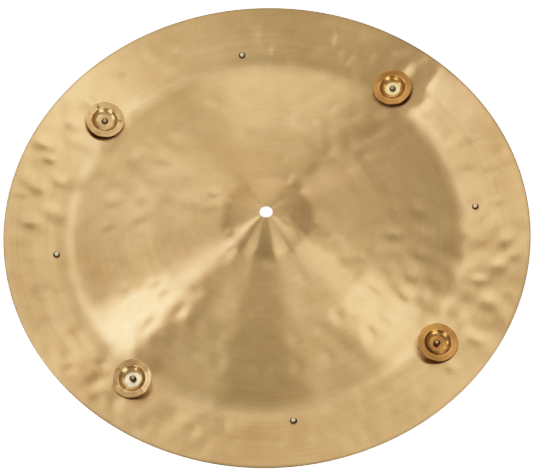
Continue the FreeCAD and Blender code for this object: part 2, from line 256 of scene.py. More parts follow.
def dent(x, y, mark_x, mark_y, way, long, wide):
    """The share of a mark's depth at places round it. Its half-length lies along way, an angle in
    radians, and its half-width across it."""
    dx, dy = x - mark_x, y - mark_y
    along = (dx * math.cos(way) + dy * math.sin(way)) / long
    across = (dy * math.cos(way) - dx * math.sin(way)) / wide
    return np.exp(-0.5 * (along ** 2 + across ** 2))


# ---- places --------------------------------------------------------------------------------------

def station_matrix(number, twist=0.0):
    """Millimetres on a station, with +Z square to the flange and +X outward, to millimetres on the
    cymbal. Station 0 is on +X."""
    around = Matrix.Rotation(math.radians(360.0 * number / STATION_COUNT), 4, "Z")
    out = Matrix.Translation((STATION_RADIUS, 0.0, STATION_HEIGHT))
    lean = Matrix.Rotation(-math.radians(FLANGE_SLOPE), 4, "Y")
    return around @ out @ lean @ Matrix.Rotation(math.radians(twist), 4, "Z")


def tipped(number):
    """What rocking has done to a jingle, on its station."""
    if number not in TIPPED_JINGLES:
        return Matrix.Identity(4)
    turn = Matrix.Rotation(math.radians(ROCK_ANGLE), 4, "Y")
    return Matrix.Translation(ROCK_PIVOT) @ turn @ Matrix.Translation(-ROCK_PIVOT)


def in_metres(matrix):
    placed = matrix.copy()
    placed.translation *= MM
    return placed


# ---- the plate -----------------------------------------------------------------------------------

# How far apart the mesh's rings are, and the longest facet round a ring.
TOP_STEP, TOP_FACET = 2.3, 2.1
UNDER_STEP, UNDER_FACET = 3.6, 4.3
FEWEST_FACETS = 96
RIM_ANGLES = (22.5, 45.0, 67.5, 90.0)
STATION_HOLE_SEGMENTS = 48
STATION_CUTTER_LENGTH = 6.0

# Rows of hammer marks: radius, marks round the ring, their half-length along the radius and across
# it, and depth.
HAMMER_SEED = 11
HAMMER_ROWS = [
    (72.0, 16, 4.4, 4.4, 0.10),
    (97.0, 23, 4.6, 4.6, 0.15),
    (124.0, 34, 4.8, 4.7, 0.23),
    (151.0, 38, 5.0, 4.8, 0.25),
    (209.0, 30, 4.8, 4.6, 0.20),
    (228.0, 38, 5.2, 4.8, 0.29),
    (240.0, 29, 4.4, 4.4, 0.19),
]
# How blows vary, as shares of their row's length, width and depth.
BLOW_LENGTHS = (0.75, 1.25)
BLOW_WIDTHS = (0.75, 1.2)
BLOW_STRENGTHS = (0.4, 0.75, 0.9, 1.05, 1.25)
# How far blows stray: along the row as a share of their spacing, across it as a share of their
# half-length, and in direction, in radians.
ROW_JITTER, ROW_WANDER, TURN_WANDER = 0.18, 0.25, 0.12
# Marks scattered on the bell, turned every way, and round its foot, across the radius: how many, and
# the least and most of their radius, longer half-axis, shorter one as a share of it, and depth.
BELL_MARKS = 60
BELL_MARK_RADII = (14.0, 52.0)
BELL_MARK_SIZES = (1.8, 3.4)
BELL_MARK_SHARES = (0.7, 1.0)
BELL_MARK_DEPTHS = (0.04, 0.16)
FOOT_MARKS = 75
FOOT_MARK_RADII = (36.0, 64.0)
FOOT_MARK_SIZES = (2.6, 4.4)
FOOT_MARK_SHARES = (0.6, 0.9)
FOOT_MARK_DEPTHS = (0.06, 0.22)
FOOT_TURN_WANDER = 0.5
# How many times its half-length a mark reaches.
MARK_REACH = 3.2


def hammer_marks():
    """Every mark as a row of x, y, direction, half-length, half-width and depth."""
    draw = random.Random(HAMMER_SEED)
    marks = []
    for radius, count, long, wide, depth in HAMMER_ROWS:
        for k in range(count):
            turn = 2 * math.pi * (k + draw.uniform(-ROW_JITTER, ROW_JITTER)) / count
            place = radius + draw.gauss(0.0, ROW_WANDER * long)
            marks.append((
                place * math.cos(turn), place * math.sin(turn), turn + draw.gauss(0.0, TURN_WANDER),
                long * draw.uniform(*BLOW_LENGTHS), wide * draw.uniform(*BLOW_WIDTHS),
                depth * draw.choice(BLOW_STRENGTHS),
            ))
    nearest, farthest = BELL_MARK_RADII
    for _ in range(BELL_MARKS):
        turn = draw.uniform(0, 2 * math.pi)
        place = nearest + (farthest - nearest) * math.sqrt(draw.random())
        size = draw.uniform(*BELL_MARK_SIZES)
        marks.append((
            place * math.cos(turn), place * math.sin(turn), draw.uniform(0, math.pi),
            size, size * draw.uniform(*BELL_MARK_SHARES), draw.uniform(*BELL_MARK_DEPTHS),
        ))
    for _ in range(FOOT_MARKS):
        turn = draw.uniform(0, 2 * math.pi)
        place = draw.uniform(*FOOT_MARK_RADII)
        size = draw.uniform(*FOOT_MARK_SIZES)
        marks.append((
            place * math.cos(turn), place * math.sin(turn), turn + draw.gauss(0.0, FOOT_TURN_WANDER),
            size * draw.uniform(*FOOT_MARK_SHARES), size, draw.uniform(*FOOT_MARK_DEPTHS),
        ))
    return marks


MARKS = hammer_marks()

# Slow swells round the plate: the phase of each and its number of waves. Those with more waves are
# lower, and all are wound into spirals, by a radian over this much radius.
SWELL_HEIGHT = 0.16
SWELL_WINDING = 47.0
SWELL_COUNT = 9
SWELLS = [
    (random.Random(HAMMER_SEED + k).uniform(0, 2 * math.pi), 2 + k) for k in range(1, SWELL_COUNT + 1)
]

# Ripples left by the planishing: direction, wavelength and phase of each, and the steepness that
# they have together.
RIPPLE_SLOPE = 0.0118
RIPPLE_COUNT = 26
RIPPLE_LENGTHS = (13.0, 55.0)
RIPPLE_SEED = 31


def planishing_ripples():
    draw = random.Random(RIPPLE_SEED)
    return [
        (draw.uniform(0, math.pi), draw.uniform(*RIPPLE_LENGTHS), draw.uniform(0, 2 * math.pi))
        for _ in range(RIPPLE_COUNT)
    ]


RIPPLES = planishing_ripples()

# The swells and ripples grow from a share of their height on the bell to all of it at this radius.
# All hammering dies away at the stations, and over a margin inside the rim and outside the hole's
# collar.
CALM_SHARE, FULL_RADIUS = 0.2, 90.0
BARE_STATION, BARE_SHARPNESS = 9.0, 4
TRUE_MARGIN = 6.0
TRUE_COLLAR = 2.0


def mark_depth(x, y):
    """How deep the hammer marks are, at places on the plate."""
    down = np.zeros_like(x)
    for mark_x, mark_y, way, long, wide, depth in MARKS:
        near = (np.abs(x - mark_x) < MARK_REACH * long) & (np.abs(y - mark_y) < MARK_REACH * long)
        if near.any():
            down[near] += depth * dent(x[near], y[near], mark_x, mark_y, way, long, wide)
    return down


def hammering(x, y):
    """How far the hammering moves the metal up, at places on the plate."""
    radius, turn = np.hypot(x, y), np.arctan2(y, x)
    swell = sum(
        math.cos(phase) * np.sin(waves * turn + phase + radius / SWELL_WINDING) / waves
        for phase, waves in SWELLS
    )
    ripple = sum(
        length / (2 * math.pi)
        * np.sin((x * math.cos(way) + y * math.sin(way)) * 2 * math.pi / length + phase)
        for way, length, phase in RIPPLES
    ) * RIPPLE_SLOPE * math.sqrt(2 / RIPPLE_COUNT)
    share = np.clip(radius / FULL_RADIUS, CALM_SHARE, 1.0)
    moved = (SWELL_HEIGHT * swell + ripple) * share - mark_depth(x, y)
    # the metal is left flat where a rivet or a jingle sits, and true at the rim and the hole
    for number in range(STATION_COUNT):
        at = station_matrix(number).translation
        away = np.hypot(x - at.x, y - at.y) / BARE_STATION
        moved = moved * (1.0 - np.exp(-away ** BARE_SHARPNESS))
    moved = moved * np.clip((RIM_RADIUS - radius) / TRUE_MARGIN, 0.0, 1.0)
    return moved * np.clip((radius - HOLE_RADIUS - TRUE_COLLAR) / TRUE_MARGIN, 0.0, 1.0)


def plate_surface(height, slope, bends, step):
    """One surface, from the hole to the rim's rounding."""
    surface = Outline(HOLE_RADIUS, height, slope)
    for bend_radius, end_slope in bends:
        surface.bend(bend_radius, end_slope, step)
    return surface.straight(RIM_RADIUS - RIM_ROUNDING, step).points


def facets(radius, longest):
    """How many facets a ring has: the fewest, doubled until none is longer than the longest."""
    count = FEWEST_FACETS
    while 2 * math.pi * radius / count > longest:
        count *= 2
    return count


# The lathe's two faint steps in the upper surface, one on the flange and one where the valley starts:
# radius, half the rise and half the width. The rim is left true.
LATHE_STEPS = [(226.0, 0.05, 0.8), (185.0, -0.06, 1.0)]
TRUE_RIM = 250.0


def lathe_step(radius):
    if not HOLE_RADIUS < radius < TRUE_RIM:
        return 0.0
    return sum(rise * math.tanh((radius - place) / width) for place, rise, width in LATHE_STEPS)


def rim_rings(top, under, count):
    """The rounded edge, from the height of the upper surface to that of the lower."""
    rings = []
    for height, side, angles in ((top, 1, RIM_ANGLES), (under, -1, RIM_ANGLES[::-1])):
        for angle in angles:
            reach = RIM_ROUNDING * math.sin(math.radians(angle))
            rise = RIM_ROUNDING * math.cos(math.radians(angle))
            radius = RIM_RADIUS - RIM_ROUNDING + reach
            rings.append(ring_points(radius, height - side * RIM_ROUNDING + side * rise, count))
    return rings


def station_cutters():
    """A cylinder through the flange at each station."""
    shape = bmesh.new()
    for number in range(STATION_COUNT):
        bmesh.ops.create_cone(
            shape, cap_ends=True, segments=STATION_HOLE_SEGMENTS, radius1=STATION_HOLE_RADIUS * MM,
            radius2=STATION_HOLE_RADIUS * MM, depth=STATION_CUTTER_LENGTH * MM,
            matrix=in_metres(station_matrix(number)),
        )
    return solid_object("station_holes", shape)


def make_plate():
    top = plate_surface(BELL_THICKNESS, TOP_FIRST_SLOPE, TOP_BENDS, TOP_STEP)
    under = plate_surface(0.0, UNDER_FIRST_SLOPE, UNDER_BENDS, UNDER_STEP)
    rings = [ring_points(r, z + lathe_step(r), facets(r, TOP_FACET), hammering) for r, z in top]
    rim_count = len(rings[-1])
    rings += rim_rings(top[-1][1], under[-1][1], rim_count)
    rings.append(ring_points(*under[-1], rim_count))
    rings += [ring_points(r, z, facets(r, UNDER_FACET), hammering) for r, z in reversed(under[:-1])]
    plate = new_object("cymbal_plate", turned_mesh("cymbal_plate", rings, closed=True))
    cut_away(plate, station_cutters())
    smooth(plate.data, SHEET_SHARP_ANGLE)
    deepest = max(depth for *_, depth in MARKS)
    note_depth(plate.data, "hammer_mark", lambda x, y: mark_depth(x, y) / deepest)
    return plate


# ---- the rivets ----------------------------------------------------------------------------------

RIVET_SEGMENTS = 64
DOME_STEP = 0.22
SHANK_RINGS = (-0.9, -2.4, -4.2)
FLARE_RINGS = 9
# The bore's blind end, from its wall to the axis.
BORE_END = [(SHANK_RADIUS - LEG_WALL, -2.05), (0.35, -1.75), (0.0, -1.7)]


def rivet_outline():
    """Head, shank, skirt and bore, as a closed loop from the top of the head, with the underside of
    the head at height 0."""
    rise = HEAD_HEIGHT - HEAD_EDGE
    dome_bend = (HEAD_RADIUS ** 2 + rise ** 2) / (2 * rise)
    steepest = math.degrees(math.asin(min(1.0, (HEAD_RADIUS - CHAMFER) / dome_bend)))
    points = Outline(0.0, HEAD_HEIGHT).bend(dome_bend, -steepest, DOME_STEP).points
    points += [
        (HEAD_RADIUS, HEAD_EDGE - HEAD_EDGE_BREAK), (HEAD_RADIUS, CHAMFER),
        (HEAD_RADIUS - CHAMFER, 0.0), (SHANK_RADIUS + CHAMFER, 0.0), (SHANK_RADIUS, -CHAMFER),
    ]
    points += [(SHANK_RADIUS, height) for height in SHANK_RINGS]
    # the skirt flares in a smooth curve, from a little above the grip's end to the legs' ends
    flare = np.linspace(0.0, 1.0, FLARE_RINGS)
    outside = [
        (SHANK_RADIUS + LEG_SPREAD * t ** FLARE_CURVE,
         -GRIP_LENGTH + FLARE_RUN - (LEG_LENGTH + FLARE_RUN) * t) for t in flare
    ]
    inside = [(r - LEG_WALL + LEG_THINNING * t, z) for (r, z), t in zip(outside, flare)]
    return points + outside + inside[::-1] + BORE_END


def make_rivet_mesh():
    """A rivet turned with a round skirt, which is then split in two and trimmed at both sides, so
    that its legs are no wider than the shank."""
    rings = [
        ring_points(r, z, RIVET_SEGMENTS) if r > 0 else np.array([(0.0, 0.0, z)])
        for r, z in rivet_outline()
    ]
    blank = new_object("rivet_blank", turned_mesh("rivet_blank", rings, closed=False))
    reach = SHANK_RADIUS + LEG_SPREAD + CUTTER_MARGIN
    low = -GRIP_LENGTH - LEG_LENGTH - CUTTER_MARGIN
    side = SHANK_RADIUS + LEG_SIDE_GAP
    boxes = [
        ((-SPLIT_WIDTH / 2, -reach, low), (SPLIT_WIDTH / 2, reach, SPLIT_TOP)),
        ((-reach, side, low), (reach, reach, LEG_SIDE_TOP)),
        ((-reach, -reach, low), (reach, -side, LEG_SIDE_TOP)),
    ]
    for number, (least, most) in enumerate(boxes):
        middle = Matrix.Translation([(a + b) / 2 * MM for a, b in zip(least, most)])
        size = Matrix.Diagonal([(b - a) * MM for a, b in zip(least, most)] + [1.0])
        shape = bmesh.new()
        bmesh.ops.create_cube(shape, size=1.0, matrix=middle @ size)
        cut_away(blank, solid_object(f"rivet_cut_{number}", shape))
    mesh = blank.data
    mesh.name = "split_rivet"
    bpy.data.objects.remove(blank)
    smooth(mesh, RIVET_SHARP_ANGLE)
    return mesh


# ---- the jingles ---------------------------------------------------------------------------------

JINGLE_SEGMENTS = 144
FLOOR_STEP, WALL_STEP, LIP_STEP, BRIM_STEP = 0.9, 0.5, 0.35, 0.7
JINGLE_RIM_ANGLES = (60.0, 30.0, 0.0, -30.0, -60.0)

# Waves in a jingle's rim: height, number of waves, and phase from one jingle to the next.
WARPS = [(0.05, 2, 1.0), (0.03, 5, 2.1)]

# Blows on each jingle: radius, direction, half-length along the radius, half-width and depth.
JINGLE_BLOWS = {
    1: [(9.6, 160.0, 1.6, 2.4, 0.10), (15.0, 20.0, 2.2, 3.0, 0.06), (15.5, 250.0, 2.0, 3.2, 0.06)],
    2: [
        (14.8, -22.0, 2.0, 0.5, 0.30), (15.2, -144.0, 2.0, 0.45, 0.30), (9.6, 140.0, 1.7, 0.5, 0.26),
        (10.6, -90.0, 1.8, 1.5, 0.34), (10.2, 40.0, 2.0, 1.7, 0.30), (9.9, 190.0, 1.6, 1.3, 0.34),
        (16.2, 95.0, 2.0, 2.6, 0.16), (16.0, 10.0, 2.0, 2.4, 0.14), (15.6, 230.0, 1.8, 2.5, 0.14),
    ],
    3: [
        (14.8, -90.0, 2.1, 0.55, 0.30), (11.6, 48.0, 0.7, 0.6, 0.34), (10.4, 5.0, 1.9, 1.6, 0.34),
        (10.1, 118.0, 1.9, 1.4, 0.32), (10.5, 200.0, 1.8, 1.6, 0.34), (14.2, 78.0, 2.0, 0.6, 0.24),
        (16.0, 150.0, 2.0, 2.8, 0.16), (15.8, -30.0, 2.0, 2.4, 0.15), (9.8, -60.0, 1.6, 1.2, 0.3),
    ],
    4: [(10.0, 60.0, 1.6, 2.4, 0.08), (15.4, 200.0, 2.2, 3.0, 0.06), (15.0, -60.0, 2.0, 3.2, 0.05)],
}
# Blows narrower than this are nicks, painted dark with shade, fully so at this depth.
NICK_HALF_WIDTH = 0.95
NICK_DEPTH = 0.36


def blow_depth(number, x, y, widest=math.inf):
    """How deep the blows on one jingle are, from those with less than the widest half-width."""
    down = np.zeros_like(x)
    for radius, direction, long, wide, depth in JINGLE_BLOWS[number]:
        if wide < widest:
            way = math.radians(direction)
            down += depth * dent(x, y, radius * math.cos(way), radius * math.sin(way), way, long, wide)
    return down


def jingle_shape(number):
    """How far warp and blows move one jingle's metal up, as a function of x and y."""
    def moved(x, y):
        turn = np.arctan2(y, x)
        warp = sum(height * np.sin(waves * turn + phase * number) for height, waves, phase in WARPS)
        warp = warp * np.clip(np.hypot(x, y) / JINGLE_RADIUS, 0.0, 1.0) ** 2
        return warp - blow_depth(number, x, y)
    return moved


def jingle_surface(height, cup_bend, lip_bend):
    """One surface, from the hole along the cup's floor, up its wall and out to the edge."""
    surface = Outline(JINGLE_HOLE_RADIUS, height).straight(CUP_FLOOR_RADIUS, FLOOR_STEP)
    surface.bend(cup_bend, CUP_WALL_SLOPE, WALL_STEP).bend(lip_bend, JINGLE_FLANGE_SLOPE, LIP_STEP)
    return surface.straight(JINGLE_RADIUS - JINGLE_EDGE, BRIM_STEP).points


def make_jingle(number):
    top = jingle_surface(JINGLE_GAP + JINGLE_THICKNESS, CUP_BEND, CUP_LIP_BEND)
    under = jingle_surface(JINGLE_GAP, CUP_BEND + JINGLE_THICKNESS, CUP_LIP_BEND - JINGLE_THICKNESS)
    middle = (top[-1][1] + under[-1][1]) / 2
    rim = [
        (JINGLE_RADIUS - JINGLE_EDGE + JINGLE_EDGE * math.cos(angle),
         middle + JINGLE_THICKNESS / 2 * math.sin(angle)) for angle in np.radians(JINGLE_RIM_ANGLES)
    ]
    shape = jingle_shape(number)
    rings = [ring_points(r, z, JINGLE_SEGMENTS, shape) for r, z in top + rim + under[::-1]]
    mesh = turned_mesh(f"jingle_disc_{number}", rings, closed=True)
    smooth(mesh, SHEET_SHARP_ANGLE)
    note_depth(mesh, "nick", lambda x, y: blow_depth(number, x, y, NICK_HALF_WIDTH) / NICK_DEPTH)
    return mesh


# ---- materials -----------------------------------------------------------------------------------

QUARTER_TURN = 0.25


class Shader:
    """A material's node tree, with short ways to add nodes."""

    def __init__(self, name):
        self.material = bpy.data.materials.new(name)
        self.material.use_nodes = True
        self.tree = self.material.node_tree
        self.tree.nodes.clear()
        self.output = self.tree.nodes.new("ShaderNodeOutputMaterial")
        self.place = self.node("ShaderNodeTexCoord").outputs["Object"]

    def node(self, kind, inputs=None, **settings):
        """A node, with its settings and inputs. An input is a value or another node's output."""
        made = self.tree.nodes.new(kind)
        for key, setting in settings.items():
            setattr(made, key, setting)
        for key, source in (inputs or {}).items():
            socket = made.inputs[key]
            if isinstance(source, bpy.types.NodeSocket):
                self.tree.links.new(source, socket)
            else:
                socket.default_value = source
        return made

    def math(self, operation, *values):
        return self.node("ShaderNodeMath", dict(enumerate(values)), operation=operation).outputs[0]

    def add(self, first, second):
        return self.math("ADD", first, second)

    def subtract(self, first, second):
        return self.math("SUBTRACT", first, second)

    def times(self, first, second):
        return self.math("MULTIPLY", first, second)

    def vector(self, operation, *values):
        return self.node("ShaderNodeVectorMath", dict(enumerate(values)), operation=operation)

    def noise(self, place, scale, detail=2.0, roughness=0.5):
        made = self.node("ShaderNodeTexNoise", {
            "Vector": place, "Scale": scale, "Detail": detail, "Roughness": roughness,
        })
        return made.outputs["Fac"]

    def ramp(self, value, *stops):
        """A colour ramp through (position, colour) stops."""
        made = self.node("ShaderNodeValToRGB", {"Fac": value})
        elements = made.color_ramp.elements
        for _ in stops[2:]:
            elements.new(0.5)
        for element, (position, colour) in zip(elements, stops):
            element.position = position
            element.color = (*colour, 1.0)
        return made.outputs["Color"]

    def rescale(self, value, from_low, from_high, to_low, to_high, smoothly=False):
        made = self.node("ShaderNodeMapRange", {
            "Value": value, "From Min": from_low, "From Max": from_high,
            "To Min": to_low, "To Max": to_high,
        })
        made.interpolation_type = "SMOOTHSTEP" if smoothly else "LINEAR"
        return made.outputs["Result"]

    def climb(self, value, start, end, top=1.0):
        """0 up to the start and the top from the end, with a smooth climb between them."""
        return self.rescale(value, start, end, 0.0, top, smoothly=True)

    def fall(self, value, start, end):
        """1 up to the start and 0 from the end, with a smooth fall between them."""
        return self.rescale(value, start, end, 1.0, 0.0, smoothly=True)

    def band(self, value, start, full, fading, end):
        """A smooth climb from 0 to 1 and a smooth fall back to 0."""
        return self.subtract(self.climb(value, start, full), self.climb(value, fading, end))

    def mix(self, share, first, second):
        made = self.node("ShaderNodeMix", data_type="RGBA")
        sockets = (made.inputs[0], made.inputs[6], made.inputs[7])
        for socket, source in zip(sockets, (share, first, second)):
            if isinstance(source, bpy.types.NodeSocket):
                self.tree.links.new(source, socket)
            elif isinstance(source, tuple):
                socket.default_value = (*source, 1.0)
            else:
                socket.default_value = source
        return made.outputs[2]

    def note(self, name):
        """A depth that note_depth has written on the mesh."""
        return self.node("ShaderNodeAttribute", attribute_name=name).outputs["Fac"]

    def part(self, vector, axis):
        """One part of a vector: X, Y or Z."""
        return self.node("ShaderNodeSeparateXYZ", {"Vector": vector}).outputs[axis]

    def facing_up(self):
        """The height of the surface's normal on the piece: 1 facing up, and -1 facing down."""
        return self.part(self.node("ShaderNodeTexCoord").outputs["Normal"], "Z")

    def flat_place(self):
        """The place on the piece with its height taken out."""
        return self.vector("MULTIPLY", self.place, (1.0, 1.0, 0.0)).outputs["Vector"]

    def radius(self):
        return self.vector("LENGTH", self.flat_place()).outputs["Value"]

    def ring_place(self, fineness, spread):
        """A place for noise that turns it into rings about Z: fineness is the rings' scale along the
        radius, and spread how fast they change round the ring."""
        way = self.vector("NORMALIZE", self.flat_place()).outputs["Vector"]
        return self.node("ShaderNodeCombineXYZ", {
            "X": self.times(self.radius(), fineness),
            "Y": self.times(self.part(way, "X"), spread),
            "Z": self.times(self.part(way, "Y"), spread),
        }).outputs["Vector"]

    def metal(self, colour, roughness, normal, anisotropy=0.0, edge_tint=(1.0, 1.0, 1.0)):
        """The metal itself. Turned grooves run round Z, and scatter light across themselves."""
        inputs = {
            "Base Color": colour, "Metallic": 1.0, "Roughness": roughness, "Normal": normal,
            "Anisotropic": anisotropy, "Specular Tint": (*edge_tint, 1.0),
        }
        if anisotropy:
            tangent = self.node("ShaderNodeTangent", direction_type="RADIAL", axis="Z")
            inputs["Tangent"] = tangent.outputs[0]
            inputs["Anisotropic Rotation"] = QUARTER_TURN
        made = self.node("ShaderNodeBsdfPrincipled", inputs)
        self.tree.links.new(made.outputs[0], self.output.inputs["Surface"])
        return self.material

    def bump(self, height, distance, strength=1.0, normal=None):
        inputs = {"Height": height, "Distance": distance, "Strength": strength}
        if normal is not None:
            inputs["Normal"] = normal
        return self.node("ShaderNodeBump", inputs).outputs["Normal"]


# The lathe's zones on the plate, as radii in metres: for an edge where a change starts and ends, and
# for a band also where it is full and where it fades.
BELL_EDGE = (0.030, 0.075)
FINER_EDGE = (0.104, 0.114)
VALLEY_BAND = (0.182, 0.187, 0.196, 0.206)
LEANING_BAND = (0.190, 0.206, 0.2250, 0.2266)
LEANING_END = 0.226
OUTER_EDGE = (0.2255, 0.2265)
RIM_EDGE = (0.2510, 0.2536)
# How far the grooves' faces in the leaning band climb toward the bell, for a metre of radius.
GROOVE_LEAN = 0.030
GROOVE_PITCH = 0.0024
# At a scale of 1, a band texture repeats in this length.
BAND_REPEAT = 2 * math.pi / 20

BRONZE_DARK = (0.80, 0.49, 0.212)
BRONZE_MID = (0.86, 0.548, 0.257)
BRONZE_LIGHT = (0.90, 0.6, 0.304)
BRONZE_PALE = (0.93, 0.66, 0.36)
TARNISH = (0.60, 0.347, 0.137)
MARK_SHOULDER_SHADE = (0.50, 0.283, 0.113)
GROOVE_SHADE = (0.45, 0.261, 0.1)
BELL_DARKENING = (0.50, 0.28, 0.11)
RIM_DARKENING = (0.34, 0.205, 0.091)


def groove_lines(s, radius):
    """How strongly the wider-set lines of the lathe are painted with shade: stronger on the flange than
    on the bow.
    """
    lines = s.node("ShaderNodeTexWave", {
        "Vector": s.node("ShaderNodeCombineXYZ", {"X": radius}).outputs["Vector"],
        "Scale": BAND_REPEAT / GROOVE_PITCH, "Distortion": 0.0,
    }, wave_type="BANDS", bands_direction="X").outputs["Fac"]
    lines = s.times(lines, s.noise(s.ring_place(30.0, 2.2), 1.0))
    return s.times(lines, s.rescale(radius, 0.18, 0.20, 0.20, 0.50))


def bronze_colour(s, radius, bell, blotches, bands):
    """Bronze in patches and rings, tarnished in blotches, with a painted highlight in the hammer marks
    and painted shade round their edges and in the lathe's lines, paler in the valley, and darker on the
    bell and at the rim."""
    patches = s.noise(s.place, 9.0, detail=3.0)
    tone = s.add(s.times(patches, 0.5), s.times(bands, 0.5))
    colour = s.ramp(tone, (0.30, BRONZE_DARK), (0.55, BRONZE_MID), (0.75, BRONZE_LIGHT))
    colour = s.mix(s.rescale(blotches, 0.42, 0.72, 0.0, 0.26), colour, TARNISH)
    marked = s.add(s.note("hammer_mark"), s.times(s.subtract(blotches, 0.5), 0.12))
    shoulder = s.band(marked, 0.10, 0.26, 0.30, 0.55)
    # painted highlight in the middle of the hammer marks, and painted shade round their edges
    colour = s.mix(s.climb(marked, 0.30, 0.95, 0.15), colour, BRONZE_PALE)
    colour = s.mix(s.times(shoulder, 0.05), colour, MARK_SHOULDER_SHADE)
    # painted shade in the lathe's lines
    colour = s.mix(groove_lines(s, radius), colour, GROOVE_SHADE)
    # darker toward the rim, and on the bell
    colour = s.mix(s.rescale(radius, *RIM_EDGE, 0.0, 0.6), colour, RIM_DARKENING)
    colour = s.mix(s.times(bell, 0.15), colour, BELL_DARKENING)
    # paler in the valley
    return s.mix(s.times(s.band(radius, *VALLEY_BAND), 0.10), colour, BRONZE_PALE)


def bronze_roughness(s, radius, bell, blotches, bands):
    """Rougher toward the bell, and a little uneven in rings and blotches."""
    finer = s.climb(radius, *FINER_EDGE)
    rough = s.add(s.rescale(finer, 0.0, 1.0, 0.34, 0.27), s.times(bands, 0.05))
    rough = s.add(rough, s.times(bell, 0.01))
    rough = s.add(rough, s.times(s.subtract(blotches, 0.5), 0.06))
    return s.add(rough, s.times(s.climb(radius, *OUTER_EDGE), 0.015))


def bronze_bumps(s, radius, bands):
    """The grooves and the wider bands of the lathe. Between the valley and the ring on the flange
    the grooves' faces lean outward, so that this band catches the light by itself."""
    leaning = s.times(s.band(radius, *LEANING_BAND), -GROOVE_LEAN)
    grooves = s.noise(s.ring_place(900.0, 3.0), 1.0, roughness=0.7)
    normal = s.bump(s.times(s.subtract(radius, LEANING_END), leaning), 1.0)
    normal = s.bump(grooves, 0.00010, 0.6, normal)
    return s.bump(bands, 0.0003, 0.5, normal)


def cymbal_bronze():
    """Hammered bronze, lathed in fine grooves, with each of the lathe's zones a little different."""
    s = Shader("cymbal_bronze")
    radius = s.radius()
    bell = s.fall(radius, *BELL_EDGE)
    blotches = s.noise(s.place, 46.0, detail=3.0, roughness=0.6)
    bands = s.noise(s.ring_place(210.0, 0.8), 1.0, detail=3.0, roughness=0.6)
    colour = bronze_colour(s, radius, bell, blotches, bands)
    rough = bronze_roughness(s, radius, bell, blotches, bands)
    return s.metal(colour, rough, bronze_bumps(s, radius, bands), anisotropy=1.0)


# The jingles' zones as radii in metres: where the flat flange starts and where the cup's floor ends.
BRIM_EDGE = (0.0134, 0.0142)
FLOOR_EDGE = (0.0066, 0.0074)
NICK_SHADE = (0.16, 0.08, 0.03)


def shade(colour, share):
    return tuple(share * channel for channel in colour)


def jingle_metal(name, tones, floor):
    """Pressed and turned sheet in three tones, dark to light: fine rings, a flange dulled in patches,
    painted shade in the nicks and on the underside, and a cup floor of its own colour, which is a
    painted highlight on some jingles."""
    s = Shader(name)
    dark, mid, light = tones
    radius = s.radius()
    rings = s.noise(s.ring_place(1400.0, 0.5), 1.0, roughness=0.6)
    patches = s.noise(s.place, 120.0)
    tone = s.add(s.times(rings, 0.6), s.times(patches, 0.4))
    colour = s.ramp(tone, (0.32, dark), (0.52, mid), (0.72, light))
    dulled = s.times(s.climb(radius, *BRIM_EDGE), s.rescale(patches, 0.40, 0.60, 0.38, 0.70))
    colour = s.mix(dulled, colour, shade(dark, 0.7))
    colour = s.mix(s.climb(rings, 0.50, 0.62, 0.30), colour, shade(dark, 0.6))
    # the cup floor in a colour of its own, which on the first and the third jingle is a painted
    # highlight
    on_floor = s.fall(radius, *FLOOR_EDGE)
    colour = s.mix(on_floor, colour, floor)
    # painted shade in the nicks
    colour = s.mix(s.climb(s.note("nick"), 0.35, 0.85, 0.8), colour, NICK_SHADE)
    # painted shade on the underside, which faces the plate
    under = s.rescale(s.facing_up(), 0.1, -0.1, 0.0, 0.85)
    colour = s.mix(under, colour, shade(dark, 0.45))
    rough = s.add(s.times(rings, 0.08), s.rescale(on_floor, 0.0, 1.0, 0.24, 0.30))
    grooves = s.times(rings, s.rescale(on_floor, 0.0, 1.0, 1.0, 0.15))
    return s.metal(colour, rough, s.bump(grooves, 0.00002, 0.6), anisotropy=0.6)


RIVET_EDGE_SHADE = (0.05, 0.025, 0.01)
RIVET_EDGE_TINT = (0.45, 0.30, 0.20)


def rivet_metal(name, worn, bright):
    """Tumbled plated brass, scuffed on the crown, with painted shade black round the head's edge."""
    s = Shader(name)
    scuffs = s.noise(s.place, 900.0, detail=3.0, roughness=0.6)
    patches = s.noise(s.place, 260.0)
    colour = s.ramp(patches, (0.35, worn), (0.65, bright))
    # painted shade round the head's edge, on the head only
    on_head = s.rescale(s.part(s.place, "Z"), -0.0004, 0.0, 0.0, 1.0)
    edge = s.rescale(s.facing_up(), 0.89, 0.76, 0.0, 0.97, smoothly=True)
    colour = s.mix(s.times(edge, on_head), colour, RIVET_EDGE_SHADE)
    rough = s.rescale(scuffs, 0.3, 0.7, 0.25, 0.34)
    return s.metal(colour, rough, s.bump(scuffs, 0.00002, 0.4), edge_tint=RIVET_EDGE_TINT)


# ---- assembly ------------------------------------------------------------------------------------

PALE = ((0.60, 0.353, 0.147), (0.80, 0.488, 0.212), (0.93, 0.62, 0.305))
ORANGE = ((0.46, 0.213, 0.055), (0.66, 0.332, 0.1), (0.80, 0.438, 0.154))
DEEP_ORANGE = tuple(shade(tone, 0.90) for tone in ORANGE)
# The cup's floor is painted with a bright highlight in the first and the third.
JINGLE_METALS = {
    1: jingle_metal("jingle_bronze_1", ORANGE, (1.0, 0.78, 0.34)),
    2: jingle_metal("jingle_brass_2", PALE, (0.60, 0.38, 0.17)),
    3: jingle_metal("jingle_brass_3", PALE, (1.0, 0.86, 0.52)),
    4: jingle_metal("jingle_bronze_4", DEEP_ORANGE, (0.44, 0.20, 0.055)),
}


def give(piece, material):
    piece.data.materials.clear()
    piece.data.materials.append(material)


def place_plate():
    plate = make_plate()
    give(plate, cymbal_bronze())
    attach(plate, "cymbal")
    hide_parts("cymbal")


